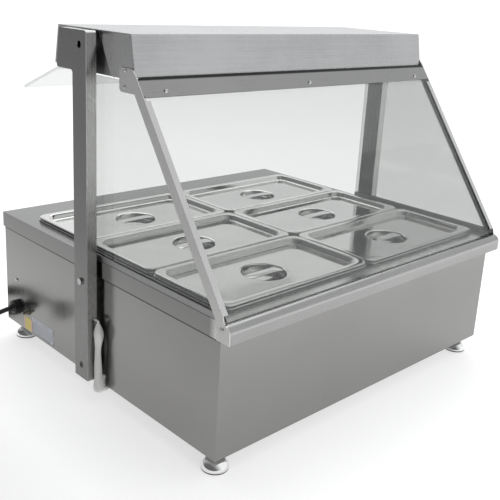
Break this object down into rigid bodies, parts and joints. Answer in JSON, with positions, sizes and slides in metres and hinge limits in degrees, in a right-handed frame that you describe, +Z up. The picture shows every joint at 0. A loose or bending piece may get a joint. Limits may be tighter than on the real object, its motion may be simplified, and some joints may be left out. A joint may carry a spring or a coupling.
{
  "type": "countertop steam table",
  "caption": "Countertop steam table: lidded pans in an electrically heated well, under a lamp hood on side posts with a sloping sneeze glass.",
  "frame": {"origin": "on the floor under the middle of the table, level with the bottom of the feet", "axes": "+Z up, -Y towards the customer and the front glass, +X across the table, away from the side with the mains entry"},
  "size_m": [0.8625, 0.8405, 0.613],
  "materials": {
    "worktop_steel": "satin stainless sheet, brushed across the table",
    "body_steel": "satin stainless sheet with a faint vertical grain",
    "post_steel": "satin stainless tube, brushed lengthwise",
    "hood_steel": "satin stainless sheet",
    "strut_steel": "satin stainless, grained along its length",
    "inner_steel": "plain mill-finish sheet",
    "pan_steel": "drawn stainless, fine satin",
    "lid_steel": "drawn stainless, bright satin",
    "fastener": "bright plated",
    "foot_chrome": "polished chrome plate",
    "element": "oxidised metal sheath",
    "reflector": "bright rolled aluminium",
    "ceramic": "glazed ceramic",
    "lamp_tube": "frosted quartz tube",
    "clear_glass": "clear tempered glass, polished edges",
    "control_black": "fine textured moulding",
    "rocker_green": "translucent green moulding",
    "lamp_amber": "translucent amber lens",
    "gland_black": "nylon, satin",
    "cord_black": "matt rubber sheath",
    "brass": "plain brass",
    "label": "printed foil, blank",
    "sleeving": "woven glass fibre",
    "ceramic_block": "glazed ceramic"
  },
  "bodies": {
    "table": {"worktop": "worktop_steel", "front_nose": "worktop_steel", "body_shell": "body_steel", "rear_panel": "body_steel", "bottom_tray": "inner_steel", "well_tank": "inner_steel", "pan_supports": "inner_steel", "heating_element": "element", "post_left": "post_steel", "post_right": "post_steel", "post_spacers": "inner_steel", "post_bolts": "fastener", "hood_shell": "hood_steel", "hood_ends": "inner_steel", "lamp_reflector": "reflector", "lamp_holders": "ceramic", "heat_lamp": "lamp_tube", "rear_visor": "clear_glass", "visor_clips": "fastener", "front_glass": "clear_glass", "top_rail": "hood_steel", "glazing_screws": "fastener", "strut_left": "strut_steel", "strut_right": "strut_steel", "side_glass_left": "clear_glass", "side_glass_right": "clear_glass", "glass_channels": "inner_steel", "thermostat_body": "ceramic_block", "switch_housings": "control_black", "indicator_lamp": "lamp_amber", "foot_sockets": "fastener", "cable_gland": "gland_black", "mains_cord": "cord_black", "mains_cord_coil": "cord_black", "cord_tie": "control_black", "mains_plug": "gland_black", "bonding_stud": "brass", "label_plates": "label", "case_screws": "fastener", "lamp_lead_sleeve": "sleeving", "terminal_block": "ceramic_block"},
    "front_left_pan": {"pan_front_left": "pan_steel"},
    "front_left_lid": {"lid_front_left": "lid_steel"},
    "front_right_pan": {"pan_front_right": "pan_steel"},
    "front_right_lid": {"lid_front_right": "lid_steel"},
    "middle_left_pan": {"pan_middle_left": "pan_steel"},
    "middle_left_lid": {"lid_middle_left": "lid_steel"},
    "middle_right_pan": {"pan_middle_right": "pan_steel"},
    "middle_right_lid": {"lid_middle_right": "lid_steel"},
    "rear_left_pan": {"pan_rear_left": "pan_steel"},
    "rear_left_lid": {"lid_rear_left": "lid_steel"},
    "rear_right_pan": {"pan_rear_right": "pan_steel"},
    "rear_right_lid": {"lid_rear_right": "lid_steel"},
    "thermostat_dial": {"thermostat_knob": "control_black"},
    "power_switch": {"power_rocker": "rocker_green"},
    "lamp_switch": {"lamp_rocker": "rocker_green"},
    "front_left_foot": {"foot_front_left": "foot_chrome"},
    "front_right_foot": {"foot_front_right": "foot_chrome"},
    "rear_left_foot": {"foot_rear_left": "foot_chrome"},
    "rear_right_foot": {"foot_rear_right": "foot_chrome"}
  },
  "joints": [
    {"name": "front_left_pan_lift", "type": "slide", "parent": "table", "child": "front_left_pan", "axis": [0, 0, 1], "range_m": [0, 0.018]},
    {"name": "front_left_lid_tip", "type": "hinge", "parent": "front_left_pan", "child": "front_left_lid", "pos_m": [-0.1625, -0.2943, 0.254], "axis": [1, 0, 0], "range_deg": [0, 50]},
    {"name": "front_right_pan_lift", "type": "slide", "parent": "table", "child": "front_right_pan", "axis": [0, 0, 1], "range_m": [0, 0.018]},
    {"name": "front_right_lid_tip", "type": "hinge", "parent": "front_right_pan", "child": "front_right_lid", "pos_m": [0.1625, -0.2943, 0.254], "axis": [1, 0, 0], "range_deg": [0, 50]},
    {"name": "middle_left_pan_lift", "type": "slide", "parent": "table", "child": "middle_left_pan", "axis": [0, 0, 1], "range_m": [0, 0.13]},
    {"name": "middle_left_lid_lift", "type": "slide", "parent": "middle_left_pan", "child": "middle_left_lid", "axis": [0, 0, 1], "range_m": [0, 0.08]},
    {"name": "middle_right_pan_lift", "type": "slide", "parent": "table", "child": "middle_right_pan", "axis": [0, 0, 1], "range_m": [0, 0.13]},
    {"name": "middle_right_lid_lift", "type": "slide", "parent": "middle_right_pan", "child": "middle_right_lid", "axis": [0, 0, 1], "range_m": [0, 0.08]},
    {"name": "rear_left_pan_lift", "type": "slide", "parent": "table", "child": "rear_left_pan", "axis": [0, 0, 1], "range_m": [0, 0.13]},
    {"name": "rear_left_lid_lift", "type": "slide", "parent": "rear_left_pan", "child": "rear_left_lid", "axis": [0, 0, 1], "range_m": [0, 0.08]},
    {"name": "rear_right_pan_lift", "type": "slide", "parent": "table", "child": "rear_right_pan", "axis": [0, 0, 1], "range_m": [0, 0.13]},
    {"name": "rear_right_lid_lift", "type": "slide", "parent": "rear_right_pan", "child": "rear_right_lid", "axis": [0, 0, 1], "range_m": [0, 0.08]},
    {"name": "thermostat_turn", "type": "hinge", "parent": "table", "child": "thermostat_dial", "pos_m": [-0.24, 0.3115, 0.13], "axis": [0, 1, 0], "range_deg": [0, 270]},
    {"name": "power_switch_rock", "type": "hinge", "parent": "table", "child": "power_switch", "pos_m": [-0.15, 0.308, 0.13], "axis": [1, 0, 0], "range_deg": [0, 16]},
    {"name": "lamp_switch_rock", "type": "hinge", "parent": "table", "child": "lamp_switch", "pos_m": [-0.1, 0.308, 0.13], "axis": [1, 0, 0], "range_deg": [0, 16]},
    {"name": "front_left_foot_turn", "type": "hinge", "parent": "table", "child": "front_left_foot", "pos_m": [-0.324, -0.288, 0.032], "axis": [0, 0, 1], "continuous": true},
    {"name": "front_right_foot_turn", "type": "hinge", "parent": "table", "child": "front_right_foot", "pos_m": [0.324, -0.288, 0.032], "axis": [0, 0, 1], "continuous": true},
    {"name": "rear_left_foot_turn", "type": "hinge", "parent": "table", "child": "rear_left_foot", "pos_m": [-0.324, 0.281, 0.032], "axis": [0, 0, 1], "continuous": true},
    {"name": "rear_right_foot_turn", "type": "hinge", "parent": "table", "child": "rear_right_foot", "pos_m": [0.324, 0.281, 0.032], "axis": [0, 0, 1], "continuous": true}
  ]
}
